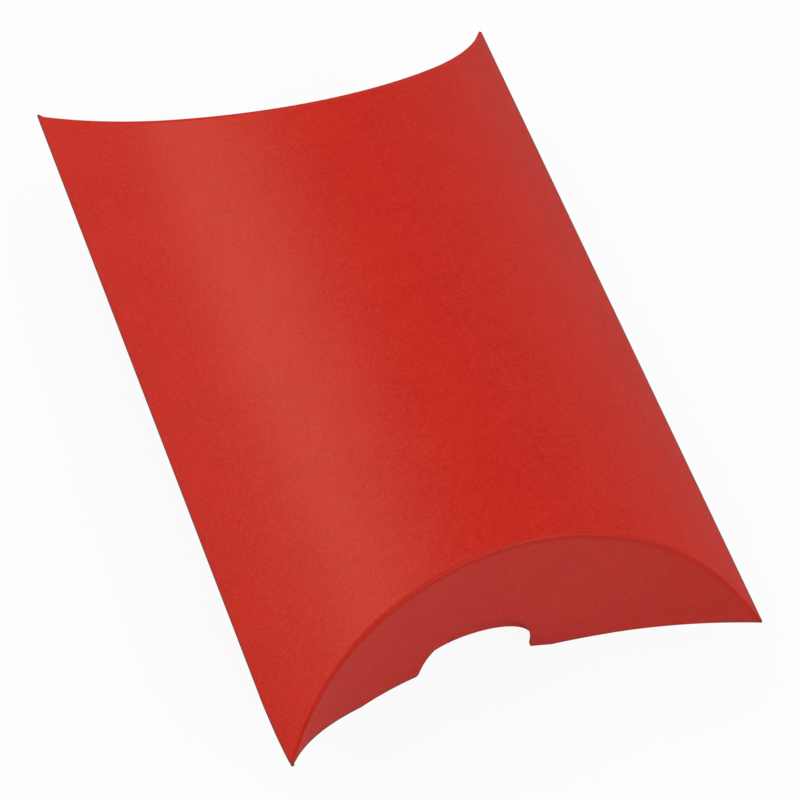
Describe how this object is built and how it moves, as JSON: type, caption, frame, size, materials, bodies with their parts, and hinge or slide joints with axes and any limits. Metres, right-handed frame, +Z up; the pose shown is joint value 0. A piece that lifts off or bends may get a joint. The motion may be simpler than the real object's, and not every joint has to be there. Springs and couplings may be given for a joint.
{
  "type": "pillow box",
  "caption": "Pillow-shaped folding box of plain red card: bowed panels meet along side folds, and curved creases let dished end flaps close over each other, with a thumb notch to open them.",
  "frame": {"origin": "middle of the box on the table that its flap tips stand on", "axes": "+Z up, +Y along the side folds towards the rear end, +X across towards the glued seam"},
  "size_m": [0.07, 0.103, 0.0296],
  "materials": {
    "card": "matte",
    "glue": "satin"
  },
  "bodies": {
    "sleeve": {"top_panel": "card", "bottom_panel": "card", "glue_tab": "card", "glue_strip": "glue"},
    "front_outer_flap": {"front_outer_flap": "card"},
    "rear_outer_flap": {"rear_outer_flap": "card"},
    "front_inner_flap": {"front_inner_flap": "card"},
    "rear_inner_flap": {"rear_inner_flap": "card"}
  },
  "joints": [
    {"name": "front_outer_flap_fold", "type": "hinge", "parent": "sleeve", "child": "front_outer_flap", "pos_m": [0, -0.03584, 0.0296], "axis": [-1, 0, 0], "range_deg": [0, 85]},
    {"name": "rear_outer_flap_fold", "type": "hinge", "parent": "sleeve", "child": "rear_outer_flap", "pos_m": [0, 0.03584, 0.0296], "axis": [1, 0, 0], "range_deg": [0, 85]},
    {"name": "front_inner_flap_fold", "type": "hinge", "parent": "sleeve", "child": "front_inner_flap", "pos_m": [0, -0.03743, 0.002], "axis": [-1, 0, 0], "range_deg": [0, 40], "stiffness_Nm_per_rad": 0.002},
    {"name": "rear_inner_flap_fold", "type": "hinge", "parent": "sleeve", "child": "rear_inner_flap", "pos_m": [0, 0.03743, 0.002], "axis": [1, 0, 0], "range_deg": [0, 40], "stiffness_Nm_per_rad": 0.002}
  ]
}
